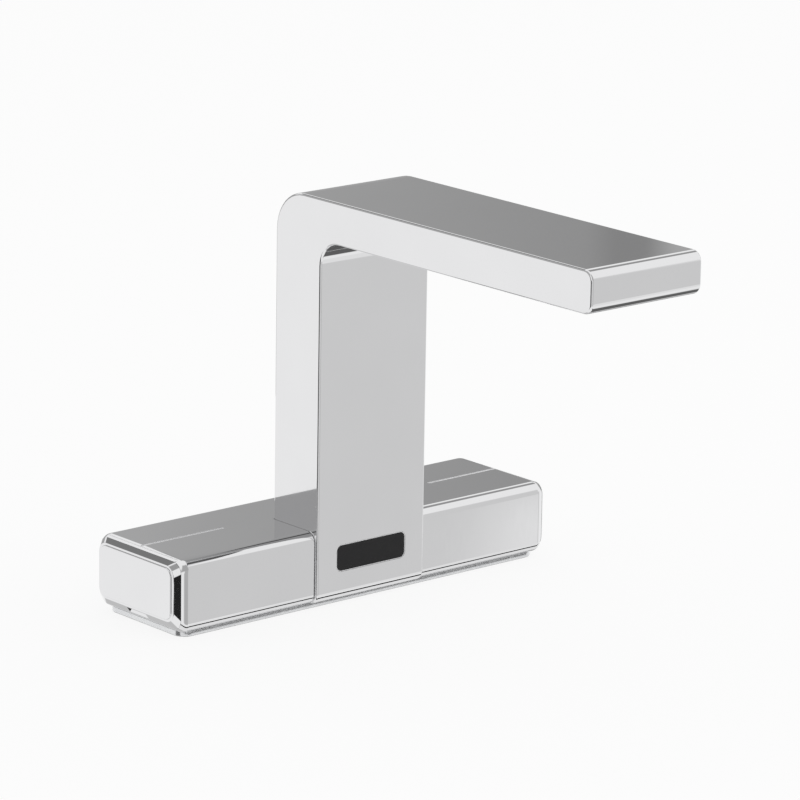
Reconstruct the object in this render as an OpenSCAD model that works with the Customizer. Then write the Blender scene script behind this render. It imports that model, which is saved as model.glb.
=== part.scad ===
// Deck-mounted sensor tap: a low bar on the deck, an upright that turns over into
// a flat spout, a sensor window at the foot, a battery drawer behind the left end
// cap and a temperature spindle behind the right one.
// X runs along the bar, -Y is the way the spout points, Z is up. The origin is the
// middle of the bar's footprint on the deck.

/* [Bar] */
// Length of the bar between its two end planes
bar_l = 169; // [160:1:190]
// Depth of the bar, front to back
bar_d = 48; // [46:0.5:54]
// Height of the bar
bar_h = 26.6; // [25.6:0.2:30]
// Radius along the bar's long edges
bar_r = 4; // [2.5:0.5:5]
// Wall of the bar
bar_wall = 2.4; // [2:0.1:2.8]
// Length of the fine line engraved on each half of the top
line_l = 36; // [20:1:45]
// How far the engraved line stops short of the end plane
line_in = 1.3; // [0.8:0.1:4]
// Width of the engraved line
line_w = 1.4; // [0.6:0.1:2]
// Depth of the engraved line
line_deep = 0.25; // [0.2:0.05:0.6]
// How far the engraved line lies behind the middle of the bar
line_back = 1.5; // [0:0.5:4]

/* [Base] */
// Height of the base plate
base_t = 1.8; // [1.6:0.1:3]
// How far the base plate stands in from the front and back
base_in = 2.5; // [1.5:0.5:4]
// How far the base plate stands in from each end
base_end_in = 1.6; // [1:0.2:4]
// Corner radius of the base plate
base_r = 4.5; // [2:0.5:8]
// Height of the deck gasket
gasket_t = 0.9; // [0.7:0.1:1.1]
// Width of the deck gasket
gasket_w = 3; // [2:0.5:4]
// How far the gasket stands in from the edge of the base plate
gasket_in = 1.5; // [1:0.5:3]

/* [Spout] */
// Width of the upright and the spout
spout_w = 50; // [44:1:60]
// Top of the spout above the deck
spout_top = 150; // [130:1:200]
// Thickness of the spout
spout_t = 15.2; // [14.6:0.2:20]
// Front of the spout's tip to the middle of the bar
reach = 163.8; // [140:0.2:190]
// Depth of the upright, front to back
upright_d = 24.7; // [24:0.1:25.2]
// How far the upright stands in front of the bar
upright_proud = 1.2; // [0.6:0.1:1.8]
// Outer radius where the upright turns over
elbow_r = 15; // [12:0.5:18]
// Inner radius where the upright turns over
elbow_in_r = 9; // [6:0.5:12]
// Radius of the spout's tip edges
tip_r = 4; // [2:0.5:6]
// Wall of the spout
spout_wall = 2.5; // [2:0.1:2.8]
// Rounding of the spout's side edges
edge_r = 0.8; // [0.5:0.1:1]

/* [End caps] */
// How far the cap stands in from the bar at the front and back
cap_in_side = 0.95; // [0.6:0.05:1.6]
// How far the cap stands in from the bar's top
cap_in_top = 0.75; // [0.5:0.05:1.6]
// How far the cap stands in from the bar's bottom
cap_in_low = 1.35; // [0.8:0.05:2]
// Corner radius of the cap
cap_r = 4; // [3:0.5:6]
// How far the cap's slope rises from the end plane
cap_rise = 2; // [1.6:0.1:3]
// How far the slope leans in at the front and back
cap_lean_side = 1.7; // [1:0.1:2.4]
// How far the slope leans in at the top
cap_lean_top = 1.3; // [0.8:0.1:2]
// How far the slope leans in at the bottom
cap_lean_low = 2.65; // [2:0.05:3.4]
// Width of the flat ledge at the front and back of the raised face
cap_ledge_side = 1.2; // [0.6:0.1:2]
// Width of the flat ledge over and under the raised face
cap_ledge = 0.85; // [0.5:0.05:1.4]
// Height of the raised face over the ledge
cap_step = 0.45; // [0.3:0.05:0.8]
// Length of the pry notch in the cap's lower edge
notch_l = 10.7; // [8:0.1:16]
// Height of the pry notch
notch_h = 2.4; // [1.6:0.1:2.6]
// How far the cap's plug reaches into the bar
plug_l = 8; // [6:0.5:9]
// Wall of the plug
plug_wall = 2; // [1.6:0.1:2.6]

/* [Sensor] */
// Width of the sensor window
window_w = 31.5; // [28:0.5:36]
// Height of the sensor window
window_h = 9.3; // [8:0.1:11]
// Corner radius of the window
window_r = 2; // [1:0.25:3]
// Middle of the window above the deck
window_z = 17.5; // [17:0.1:19]
// Width of the rim round the window
rim_w = 0.4; // [0.3:0.1:0.6]
// Distance between emitter and receiver
eye_gap = 18; // [14:1:22]
// Diameter of the emitter and of the receiver
eye_d = 5; // [3:0.5:5.5]

/* [Battery] */
// Length of the control unit beside the upright
unit_l = 12.4; // [10:0.1:16]
// Wall of the battery tray
tray_wall = 1.2; // [1:0.1:1.6]

/* [Water] */
// Half the distance between the hot and cold ports
port_x = 7.5; // [7:0.1:8]
// Diameter of the port's thread crests
port_d = 9; // [8.6:0.1:9.2]
// Length of the port's thread
port_l = 7.6; // [6:0.1:8]
// Wall of the water tube
tube_wall = 1; // [0.8:0.1:1.2]
// Diameter of the temperature spindle
spindle_d = 8; // [6:0.25:9]
// How far the plunger lifts
plunger_lift = 1.2; // [0.8:0.1:1.6]
// How far each check valve opens
check_lift = 1.5; // [1:0.1:1.8]

/* [Outlet] */
// Outer diameter of the aerator's threaded housing
aerator_d = 22.4; // [20:0.2:23]

/* [Fixing] */
// Half the distance between the two stud holes
stud_x = 7.5; // [7:0.1:8]
// Diameter of the stud holes' thread crests
stud_d = 6.8; // [6.4:0.1:7.2]
// Diameter of the screws
screw_d = 3; // [2.5:0.1:3.2]

/* [Hidden] */

$fn = 64;
// Overrun of a cut past the face that it starts from
over = 1;
// Gap between two fixed pieces where one seats in the other
seat = 0.1;
// Gap round a piece that slides or pulls out
slip = 0.35;
// Radial gap of a shaft in its bore
run_gap = 0.05;
// Play round a hose, stud or tube that only passes through a wall
hose_play = 2.2;
stud_play = 1;
tube_play = 1;

bar_z0 = base_t;
bar_z1 = base_t + bar_h;
bar_zc = (bar_z0 + bar_z1) / 2;
bay_d = bar_d - 2 * bar_wall;
bay_h = bar_h - 2 * bar_wall;
bay_r = max(bar_r - bar_wall, edge_r);
bay_z0 = bar_z0 + bar_wall;

front_y = -bar_d / 2 - upright_proud;
rear_y = front_y + upright_d;
tip_y = -reach;
under_z = spout_top - spout_t;

flange_w = 1.5;
housing_w = window_w + 2 * flange_w;
housing_h = window_h + 2 * flange_w;

// The mouth of the foot is narrower than the hollow over it, because the front
// edge below is rounded.
foot_y0 = front_y + bar_r + spout_wall / 2;
foot_y1 = rear_y - spout_wall;
foot_yc = (foot_y0 + foot_y1) / 2;
foot_roof = 1;
foot_top = window_z - housing_h / 2 - foot_roof;
foot_h = foot_top - bar_z0 - 2 * seat;
foot_side_wall = 3;
foot_w = spout_w - 2 * foot_side_wall;

// The water tube takes the height that the spout's hollow leaves it.
tube_room = 1.6;
tube_d = spout_t - 2 * spout_wall - 2 * tube_room;
tube_z = bar_zc;
tube_y = foot_y1 - tube_d / 2 - tube_play;
tube_bend = 6.5;
tube_in = 3.6;

screw_core = screw_d - 2 * run_gap;
head_d = 1.8 * screw_d;
head_t = 1.4;
screw_in = 5;

module round_rect(w, h, r) {
    square([w - 2 * r, h], center = true);
    square([w, h - 2 * r], center = true);
    for (x = [-1, 1], y = [-1, 1])
        translate([x * (w / 2 - r), y * (h / 2 - r)]) circle(r);
}

// A prism along X whose section is a rounded rectangle, w deep and h high
module x_bar(x0, x1, w, h, r, z = bar_zc) {
    translate([x0, 0, z]) rotate([90, 0, 90]) linear_extrude(x1 - x0) round_rect(w, h, r);
}

// A plain block between two corners
module block(lo, hi) {
    translate(lo) cube(hi - lo);
}

module x_rod(x0, x1, d, y, z) {
    translate([x0, y, z]) rotate([0, 90, 0]) cylinder(d = d, h = x1 - x0);
}

module y_rod(y0, y1, d, x, z) {
    translate([x, y1, z]) rotate([90, 0, 0]) cylinder(d = d, h = y1 - y0);
}

module z_rod(z0, z1, d, x, y) {
    translate([x, y, z0]) cylinder(d = d, h = z1 - z0);
}

module x_ring(x0, x1, d_out, d_in, y, z) {
    difference() {
        x_rod(x0, x1, d_out, y, z);
        x_rod(x0 - over, x1 + over, d_in, y, z);
    }
}

module z_ring(z0, z1, d_out, d_in, x, y) {
    difference() {
        z_rod(z0, z1, d_out, x, y);
        z_rod(z0 - over, z1 + over, d_in, x, y);
    }
}

// A ring with a round section, flat in X and Y
module seal_ring(d_mid, cord) {
    rotate_extrude() translate([d_mid / 2, 0]) circle(d = cord);
}

// Cuts a square corner at p back to an arc; s points out of the corner
module corner_cut(p, s, r) {
    c = p - r * s;
    q = p + over * s;
    difference() {
        translate([min(c.x, q.x), min(c.y, q.y)]) square(r + over);
        translate(c) circle(r);
    }
}

// Fills the inner corner at p with an arc; s points into the open quarter
module corner_fill(p, s, r) {
    c = p + r * s;
    q = p - over * s;
    difference() {
        translate([min(c.x, q.x), min(c.y, q.y)]) square(r + over);
        translate(c) circle(r);
    }
}

// Side view of the upright and spout, in Y and Z, drawn in by i all round
module side_view(i = 0) {
    lo = [tip_y + i, bar_z0 + i];
    hi = [rear_y - i, spout_top - i];
    inner = [front_y + i, under_z + i];
    difference() {
        union() {
            translate([inner.x, lo.y]) square([hi.x - inner.x, hi.y - lo.y]);
            translate([lo.x, inner.y]) square([hi.x - lo.x, hi.y - inner.y]);
            corner_fill(inner, [-1, -1], elbow_in_r + i);
        }
        corner_cut(hi, [1, 1], elbow_r - i);
        corner_cut([lo.x, hi.y], [-1, 1], max(tip_r - i, edge_r));
        corner_cut([lo.x, inner.y], [-1, -1], max(tip_r - i, edge_r));
        corner_cut([inner.x, lo.y], [-1, -1], max(bar_r - i, edge_r));
    }
}

// Extrudes a drawing in Y and Z along X, w wide about the middle
module across(w) {
    translate([-w / 2, 0, 0]) rotate([90, 0, 90]) linear_extrude(w) children();
}

// The deck side: a plate under the bar, a gasket flush in its groove, and screws
// that go up into the bar's floor and into the foot block.
base_l = bar_l - 2 * base_end_in;
base_w = bar_d - 2 * base_in;
gasket_inner = gasket_in + gasket_w + 2 * seat;
base_screw_x = base_l / 2 - gasket_inner - head_d / 2 - base_t / 2;
base_screw_y = base_w / 2 - gasket_inner - head_d / 2 - base_t / 2;
block_screw_x = foot_w / 2 - screw_d;
// Place of each screw, and how far it reaches above the plate
base_screw_places = [
    for (x = [-1, 1], y = [-1, 1]) [x * base_screw_x, y * base_screw_y, bar_wall],
    for (x = [-1, 1]) [x * block_screw_x, foot_yc, foot_h / 2]];
hose_hole_d = port_d + 2 * hose_play;

module gasket_outline(i) {
    round_rect(base_l - 2 * i, base_w - 2 * i, max(base_r - i, edge_r));
}

module base_plate() {
    color("lightgray") difference() {
        linear_extrude(base_t - seat) round_rect(base_l, base_w, base_r);
        translate([0, 0, -over]) linear_extrude(gasket_t + seat + over) difference() {
            gasket_outline(gasket_in);
            gasket_outline(gasket_inner);
        }
        for (s = [-1, 1]) {
            z_rod(-over, base_t + over, hose_hole_d, s * port_x, port_y);
            z_rod(-over, base_t + over, stud_d + 2 * stud_play, s * stud_x, foot_yc);
        }
        for (p = base_screw_places)
            translate([p.x, p.y, seat]) {
                z_rod(-over, 0, head_d + 2 * seat, 0, 0);
                cylinder(d1 = head_d + 2 * seat, d2 = screw_d + seat, h = head_t);
                cylinder(d = screw_d + seat, h = base_t + over);
            }
    }
}

module deck_gasket() {
    color("dimgray") linear_extrude(gasket_t) difference() {
        gasket_outline(gasket_in + seat);
        gasket_outline(gasket_in + seat + gasket_w);
    }
}

module base_screws() {
    color("silver") for (p = base_screw_places)
        translate([p.x, p.y, seat]) {
            cylinder(d1 = head_d, d2 = screw_core, h = head_t);
            cylinder(d = screw_core, h = base_t + p.z - 2 * seat);
        }
}

// The bar: a drawn tube with both ends open, a notch that takes the upright, and a
// fine line engraved on each half of the top.
module bar_body() {
    color("silver") difference() {
        x_bar(-bar_l / 2, bar_l / 2, bar_d, bar_h, bar_r);
        x_bar(-bar_l / 2 - over, bar_l / 2 + over, bay_d, bay_h, bay_r);
        block([-spout_w / 2 - seat, front_y - over, bar_z0 - over],
            [spout_w / 2 + seat, rear_y + seat, bar_z1 + over]);
        for (s = [0, 1]) mirror([s, 0, 0])
            block([bar_l / 2 - line_in - line_l, line_back - line_w / 2, bar_z1 - line_deep],
                [bar_l / 2 - line_in, line_back + line_w / 2, bar_z1 + over]);
        for (s = [-1, 1])
            z_rod(bar_z0 - over, bay_z0 + over, hose_hole_d, s * port_x, port_y);
        for (p = base_screw_places)
            z_rod(bar_z0 - over, bay_z0 + over, screw_d, p.x, p.y);
    }
}

// The upright and spout: one hollow shell in the shape of a flat, square-edged L.
// The foot is closed by a brass block that takes the two deck studs.
foot_screw_x = block_screw_x - 1.4 * screw_d;
foot_screw_z = bar_z0 + foot_h / 2;

module window_prism(w, h, r, y0, y1) {
    translate([0, y1, window_z]) rotate([90, 0, 0]) linear_extrude(y1 - y0) round_rect(w, h, r);
}

module spout_body() {
    color("silver") difference() {
        across(spout_w) side_view();
        difference() {
            across(spout_w - 2 * spout_wall) side_view(spout_wall);
            block([-spout_w, front_y, 0], [spout_w, over, foot_top]);
        }
        block([-foot_w / 2, foot_y0, bar_z0 - over], [foot_w / 2, foot_y1, foot_top + over]);
        window_prism(window_w + 2 * rim_w, window_h + 2 * rim_w, window_r + rim_w,
            front_y - over, front_y + spout_wall + over);
        y_rod(foot_y1 - over, rear_y + over, tube_d + 2 * tube_play, 0, tube_z);
        z_rod(under_z - over, under_z + spout_wall + over, aerator_d + 2 * seat, 0, outlet_y);
        for (s = [-1, 1]) {
            y_rod(foot_y1 - over, rear_y + over, screw_d + 2 * seat, s * foot_screw_x,
                foot_screw_z);
            y_rod(rear_y - head_t - seat, rear_y + over, head_d + 2 * seat, s * foot_screw_x,
                foot_screw_z);
        }
    }
}

module foot_block() {
    color("goldenrod") difference() {
        block([-foot_w / 2 + seat, foot_y0 + seat, bar_z0 + seat],
            [foot_w / 2 - seat, foot_y1 - seat, bar_z0 + seat + foot_h]);
        for (s = [-1, 1]) {
            z_rod(bar_z0 - over, foot_top + over, stud_d, s * stud_x, foot_yc);
            z_rod(bar_z0 - over, bar_z0 + foot_h / 2 + over, screw_d, s * block_screw_x, foot_yc);
            y_rod(foot_y1 - screw_in, foot_y1 + over, screw_d, s * foot_screw_x, foot_screw_z);
        }
    }
}

module foot_screws() {
    color("silver") for (s = [-1, 1]) {
        y_rod(rear_y - head_t, rear_y, head_d, s * foot_screw_x, foot_screw_z);
        y_rod(foot_y1 - screw_in + seat, rear_y, screw_core, s * foot_screw_x, foot_screw_z);
    }
}

// The end caps: a sloping rim that leans in further at the bottom, a narrow ledge,
// a raised face and a pry notch. Both are cut from the same form.
cap_w = bar_d - 2 * cap_in_side;
cap_z0 = bar_z0 + cap_in_low;
cap_z1 = bar_z1 - cap_in_top;
cap_x0 = bar_l / 2 + seat;
cap_x1 = cap_x0 + cap_rise;
ledge_w = cap_w - 2 * cap_lean_side;
ledge_z0 = cap_z0 + cap_lean_low;
ledge_z1 = cap_z1 - cap_lean_top;
face_w = ledge_w - 2 * cap_ledge_side;
// Least wall that the notch and the screw holes leave in the cap
cap_skin = 0.4;
cap_screw_y = bay_d / 4;

// A rounded plate of the cap, between two heights
module cap_slice(x0, x1, w, z0, z1, r) {
    x_bar(x0, x1, w, z1 - z0, r, z = (z0 + z1) / 2);
}

module end_cap() {
    difference() {
        union() {
            hull() {
                cap_slice(cap_x0, cap_x0 + seat, cap_w, cap_z0, cap_z1, cap_r, $fn = 32);
                cap_slice(cap_x1 - seat, cap_x1, ledge_w, ledge_z0, ledge_z1, cap_r, $fn = 32);
            }
            cap_slice(cap_x1 - seat, cap_x1 + cap_step, face_w, ledge_z0 + cap_ledge,
                ledge_z1 - cap_ledge, cap_r - cap_ledge);
        }
        block([cap_x0 + cap_skin, -notch_l / 2, bar_z0], [cap_x1 + over, notch_l / 2, cap_z0 + notch_h]);
        for (s = [-1, 1])
            x_rod(cap_x0 - over, cap_x1 - cap_skin, screw_d, s * cap_screw_y, bar_zc);
    }
}

module left_end_cap() {
    color("gainsboro") mirror([1, 0, 0]) end_cap();
}

module right_end_cap() {
    color("gainsboro") end_cap();
}

// Behind each cap a plug slides in the bar with a flat seal round it.
plug_w = bay_d - 2 * slip;
plug_h = bay_h - 2 * slip;
seal_w = 1.5;
seal_deep = 1;

module seal_band(x0, w, h, r, deep) {
    difference() {
        x_bar(x0, x0 + seal_w, w, h, r);
        x_bar(x0 - over, x0 + seal_w + over, w - 2 * deep, h - 2 * deep, max(r - deep, edge_r));
    }
}

module seal_groove(x0) {
    seal_band(x0, plug_w + over, plug_h + over, bay_r, seal_deep + over / 2);
}

module plug_seal(x0) {
    color("dimgray") seal_band(x0, plug_w, plug_h, bay_r, seal_deep - seat);
}

// Two screws that hold a plug to its cap; the head sinks in the plug's face at x
module cap_screws(x) {
    for (s = [-1, 1]) {
        x_rod(x, x + head_t, head_d, s * cap_screw_y, bar_zc);
        x_rod(x, cap_x1 - cap_skin - seat, screw_core, s * cap_screw_y, bar_zc);
    }
}

module cap_screw_holes(x) {
    for (s = [-1, 1]) {
        x_rod(x - over, x + head_t + seat, head_d + 2 * seat, s * cap_screw_y, bar_zc);
        x_rod(x - over, cap_x0 + over, screw_d + 2 * seat, s * cap_screw_y, bar_zc);
    }
}

tray_front = 3;
contact_block_t = 5;
foot_gap = 1;
unit_x0 = spout_w / 2 + foot_gap;
contact_x0 = unit_x0 + unit_l + seat;
contact_x1 = contact_x0 + contact_block_t;
tray_x1 = contact_x1 + slip;
pocket_x0 = bar_l / 2 - tray_front;
pocket_x1 = tray_x1 + tray_wall;
tray_side = 3.65;
tray_top = 2.1;
cell_w = plug_w - 2 * tray_side - 2 * seat;
cell_h = plug_h - tray_wall - tray_top - 2 * seat;
tray_seal_x = bar_l / 2 - tray_front / 2 - seal_w / 2;
cell_z = bar_zc - plug_h / 2 + tray_wall + seat + cell_h / 2;
cell_y = (cell_w - cell_h) / 2;
contact_d = 4;
contact_play = 0.6;
contact_in = 0.4;

// The left half is drawn on the right and mirrored, as its cap is.
module battery_tray() {
    color("dimgray") mirror([1, 0, 0]) difference() {
        x_bar(tray_x1, bar_l / 2, plug_w, plug_h, bay_r);
        block([pocket_x1, -cell_w / 2 - seat, cell_z - cell_h / 2 - seat],
            [pocket_x0, cell_w / 2 + seat, bar_z1]);
        for (s = [-1, 1])
            x_rod(tray_x1 - over, pocket_x1 + over, contact_d + 2 * contact_play, s * cell_y, cell_z);
        cap_screw_holes(pocket_x0);
        seal_groove(tray_seal_x);
    }
}

module tray_seal() {
    mirror([1, 0, 0]) plug_seal(tray_seal_x);
}

module drawer_screws() {
    color("silver") mirror([1, 0, 0]) cap_screws(pocket_x0);
}

// A flat pack of two round cells side by side
module battery_pack() {
    color("navy") mirror([1, 0, 0]) difference() {
        union() {
            for (s = [-1, 1])
                x_rod(pocket_x1 + seat, pocket_x0 - seat, cell_h, s * cell_y, cell_z);
            block([pocket_x1 + seat, -cell_y, cell_z - cell_h / 2],
                [pocket_x0 - seat, cell_y, cell_z + cell_h / 2]);
        }
        for (s = [-1, 1])
            x_rod(pocket_x1 - over, pocket_x1 + seat + contact_in, contact_d + 2 * contact_play,
                s * cell_y, cell_z);
    }
}

module contact_block() {
    color("dimgray") mirror([1, 0, 0]) difference() {
        x_bar(contact_x0, contact_x1, bay_d - 2 * seat, bay_h - 2 * seat, bay_r);
        for (s = [-1, 1])
            x_rod(contact_x0 - over, contact_x1 + over, contact_d + 2 * run_gap, s * cell_y, cell_z);
    }
}

module battery_contacts() {
    color("goldenrod") mirror([1, 0, 0]) for (s = [-1, 1])
        x_rod(contact_x0, pocket_x1 + seat + contact_in - slip, contact_d, s * cell_y, cell_z);
}

module control_unit() {
    color("darkslategray") mirror([1, 0, 0])
        x_bar(unit_x0, contact_x0 - seat, bay_d - 2 * seat, bay_h - 2 * seat, bay_r);
}

module right_cap_plug() {
    color("dimgray") difference() {
        x_bar(bar_l / 2 - plug_l, bar_l / 2, plug_w, plug_h, bay_r);
        x_bar(bar_l / 2 - plug_l - over, bar_l / 2 - tray_front, plug_w - 2 * plug_wall,
            plug_h - 2 * plug_wall, edge_r);
        cap_screw_holes(bar_l / 2 - tray_front);
        seal_groove(bar_l / 2 - tray_front - seal_w);
    }
}

module right_cap_seal() {
    plug_seal(bar_l / 2 - tray_front - seal_w);
}

module right_cap_screws() {
    color("silver") cap_screws(bar_l / 2 - tray_front);
}

// The sensor: a dark window flush in the foot, with its lens flange behind the
// wall, a housing with two eyes, and a board that two screws hold.
flange_t = 1.2;
lens_y = front_y + spout_wall + seat;
housing_y0 = lens_y + flange_t;

board_t = 1.4;
board_gap = 0.7;
board_y1 = tube_y - tube_d / 2 - board_gap;
housing_y1 = board_y1 - board_t - seat;
tiny_screw_d = 1.8;
tiny_screw_in = 3.6;
tiny_screw_x = window_w / 2 - tiny_screw_d;

module sensor_window() {
    color("black") {
        window_prism(window_w, window_h, window_r, front_y + seat, lens_y + seat);
        window_prism(housing_w, housing_h, window_r, lens_y, housing_y0 - seat);
    }
}

module window_rim() {
    w = window_w + 2 * rim_w - 2 * run_gap;
    h = window_h + 2 * rim_w - 2 * run_gap;
    color("white") difference() {
        window_prism(w, h, window_r + rim_w - run_gap, front_y, front_y + spout_wall);
        window_prism(window_w + 2 * run_gap, window_h + 2 * run_gap, window_r + run_gap,
            front_y - over, front_y + spout_wall + over);
    }
}

module sensor_housing() {
    color("dimgray") difference() {
        window_prism(housing_w, housing_h, window_r, housing_y0, housing_y1);
        for (s = [-1, 1]) {
            y_rod(housing_y0 - over, housing_y1 + over, eye_d + 2 * seat, s * eye_gap / 2, window_z);
            y_rod(housing_y1 - tiny_screw_in, housing_y1 + over, tiny_screw_d, s * tiny_screw_x,
                window_z);
        }
    }
}

// A round diode with a domed nose towards the window
module diode(x) {
    y_rod(housing_y0 + eye_d / 2, housing_y1, eye_d, x, window_z);
    translate([x, housing_y0 + eye_d / 2, window_z]) sphere(d = eye_d);
}

module ir_emitter() {
    color("lavender") diode(-eye_gap / 2);
}

module ir_receiver() {
    color("midnightblue") diode(eye_gap / 2);
}

module sensor_board() {
    color("darkgreen") difference() {
        window_prism(housing_w, housing_h, edge_r, housing_y1 + seat, board_y1);
        for (s = [-1, 1])
            y_rod(housing_y1, board_y1 + over, tiny_screw_d + seat, s * tiny_screw_x, window_z);
    }
}

module sensor_screws() {
    color("silver") for (s = [-1, 1]) {
        y_rod(board_y1, board_y1 + tiny_screw_d, 2 * tiny_screw_d, s * tiny_screw_x, window_z);
        y_rod(housing_y1 - tiny_screw_in + seat, board_y1 + seat, tiny_screw_d - 2 * run_gap,
            s * tiny_screw_x, window_z);
    }
}

// The water manifold lies behind the upright: two threaded ports in its floor, the
// tube's socket in its front and a cup for the mixing cartridge in its right end.
half_y = bay_d / 4;
half_room = min(bay_d / 2, bay_h);
end_gap = 3.5;
manifold_x0 = -foot_w / 2;
manifold_y0 = rear_y + 2 * seat;
manifold_z0 = bay_z0 + seat;
// The valve body and the free end of the spindle share the bar's length beside the foot
lobe_share = 0.135;
spindle_share = 0.22;
lobe_x0 = spout_w / 2 + foot_gap;
lobe_l = lobe_share * (bar_l / 2 - spout_w / 2);
lobe_x1 = lobe_x0 + lobe_l;
spindle_out = spindle_share * (bar_l / 2 - lobe_x1);
spindle_x1 = bar_l / 2 - plug_l - end_gap;
cup_x1 = spindle_x1 - spindle_out;
cup_wall = 1.7;
cartridge_d = half_room - 2 * cup_wall;
coil_gap = 1.1;
coil_d = half_room - 2 * coil_gap;
plunger_share = 0.41;
plunger_d = plunger_share * coil_d;
port_top = manifold_z0 + port_l;
port_wall = 0.2;
port_y = manifold_y0 + tube_in + port_d / 2 + port_wall;
chamber_d = port_d - 4 * seat;
chamber_h = 8.5;
chamber_top = port_top + chamber_h;
ring_cord = 1;
ring_room = ring_cord + seat;
ring_mouth_d = tube_d + 2 * ring_room;
valve_bore = plunger_d - 2 * ring_cord;
flange_d = 2 * plunger_d;
valve_x = lobe_x1 - ring_cord;

module water_manifold() {
    color("darkgoldenrod") difference() {
        x_bar(manifold_x0, cup_x1, bay_d - 2 * seat, bay_h - 2 * seat, bay_r);
        block([manifold_x0 - over, -bar_d, 0], [cup_x1 + over, manifold_y0, spout_top]);
        for (s = [-1, 1]) {
            z_rod(manifold_z0 - over, port_top, port_d, s * port_x, port_y);
            z_rod(port_top - over, chamber_top, chamber_d, s * port_x, port_y);
        }
        y_rod(manifold_y0 - over, manifold_y0 + tube_in, tube_d + 2 * run_gap, 0, tube_z);
        y_rod(manifold_y0 - over, manifold_y0 + ring_room, ring_mouth_d, 0, tube_z);
        x_rod(lobe_x1, cup_x1 + over, cartridge_d + 2 * run_gap, half_y, bar_zc);
    }
}

// The valve body is bolted to the manifold's face, in front of the cartridge.
module valve_body() {
    color("darkgoldenrod") difference() {
        x_bar(lobe_x0, lobe_x1, bay_d - 2 * seat, bay_h - 2 * seat, bay_r);
        block([lobe_x0 - over, manifold_y0 - seat, 0], [lobe_x1 + over, bar_d, spout_top]);
        x_rod(lobe_x0 + ring_cord, lobe_x1 + over, valve_bore, -half_y, bar_zc);
        x_rod(valve_x, lobe_x1 + over, flange_d + 2 * seat, -half_y, bar_zc);
    }
}

// Check valves: strainer, seat, poppet and spring in the chamber over each port
strainer_t = 1;
strainer_holes = 8;
check_bore = 5;
check_seat_t = 2;
check_seat_z = port_top + strainer_t + 2 * seat;
poppet_t = 1.2;
poppet_z = check_seat_z + check_seat_t + seat;
stem_d = check_bore / 2;
poppet_stroke = check_lift + slip;

module at_ports() {
    for (s = [-1, 1]) translate([s * port_x, port_y, 0]) children();
}

module inlet_strainers() {
    color("silver") at_ports() difference() {
        z_rod(port_top + seat, port_top + seat + strainer_t, chamber_d - seat, 0, 0);
        for (k = [1:strainer_holes]) rotate([0, 0, k * 360 / strainer_holes])
            z_rod(port_top, check_seat_z, strainer_t, chamber_d / 4, 0);
    }
}

module check_valve_seats() {
    color("white") at_ports()
        z_ring(check_seat_z, check_seat_z + check_seat_t, chamber_d - seat, check_bore, 0, 0);
}

module check_poppet(x) {
    color("whitesmoke") translate([x, port_y, 0]) {
        z_rod(poppet_z, poppet_z + poppet_t, check_bore + 2 * ring_cord - seat, 0, 0);
        z_rod(poppet_z, chamber_top - poppet_stroke, stem_d, 0, 0);
        intersection() {
            z_rod(check_seat_z, poppet_z + seat, check_bore - 2 * seat, 0, 0);
            for (a = [0, 90]) rotate([0, 0, a])
                block([-check_bore, -poppet_t / 2, 0], [check_bore, poppet_t / 2, chamber_top]);
        }
    }
}

module hot_check_poppet() {
    check_poppet(-port_x);
}

module cold_check_poppet() {
    check_poppet(port_x);
}

// Each spring is drawn as a sleeve of its pressed length, at the chamber's roof.
module check_springs() {
    color("silver") at_ports()
        z_ring(poppet_z + poppet_t + poppet_stroke, chamber_top - seat,
            check_bore, stem_d + 2 * slip, 0, 0);
}

// The mixing cartridge: a shell with a fixed and a turning ceramic disc, and a
// spindle with a hexagon socket that the key turns through the right end.
disc_t = 2.5;
disc_wall = 1;
disc_room_d = cartridge_d - 2 * disc_wall;
nut_l = 3.5;
shell_x0 = lobe_x1 + seat;
shell_x1 = cup_x1 - nut_l - seat;
disc_x1 = shell_x0 + 2 * disc_t + 3 * seat;
gland_x = shell_x1 - 2 * ring_cord;
gland_d = spindle_d + 2 * run_gap + 2 * ring_cord + seat;
spindle_neck_d = 0.9 * spindle_d;
key_d = spindle_d / 2;
flat_in = 0.5;

module mixing_cartridge() {
    color("ivory") difference() {
        x_rod(shell_x0, shell_x1, cartridge_d, half_y, bar_zc);
        x_rod(shell_x0 - over, disc_x1, disc_room_d, half_y, bar_zc);
        x_rod(shell_x0 - over, shell_x1 + over, spindle_d + 2 * run_gap, half_y, bar_zc);
        x_rod(gland_x, shell_x1 + over, gland_d, half_y, bar_zc);
    }
}

module fixed_disc() {
    color("white")
        x_rod(shell_x0 + seat, shell_x0 + seat + disc_t, disc_room_d - 2 * seat, half_y, bar_zc);
}

module moving_disc() {
    color("whitesmoke")
        x_rod(disc_x1 - disc_t - seat, disc_x1 - seat, disc_room_d - 2 * slip, half_y, bar_zc);
}

module temperature_spindle() {
    color("goldenrod") difference() {
        union() {
            x_rod(disc_x1 - seat, cup_x1 + seal_w, spindle_d, half_y, bar_zc);
            x_rod(cup_x1, spindle_x1, spindle_neck_d, half_y, bar_zc);
        }
        translate([spindle_x1 - key_d, half_y, bar_zc]) rotate([0, 90, 0])
            cylinder(d = key_d, h = key_d + over, $fn = 6);
        for (s = [0, 1]) translate([0, half_y, bar_zc]) rotate([180 * s, 0, 0])
            block([cup_x1 + 2 * seal_w, spindle_neck_d / 2 - flat_in, -spindle_d],
                [spindle_x1 + over, spindle_d, spindle_d]);
    }
}

module spindle_seal() {
    color("dimgray") translate([gland_x + seat + ring_cord / 2, half_y, bar_zc])
        rotate([0, 90, 0]) seal_ring(spindle_d + 2 * run_gap + ring_cord, ring_cord);
}

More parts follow.
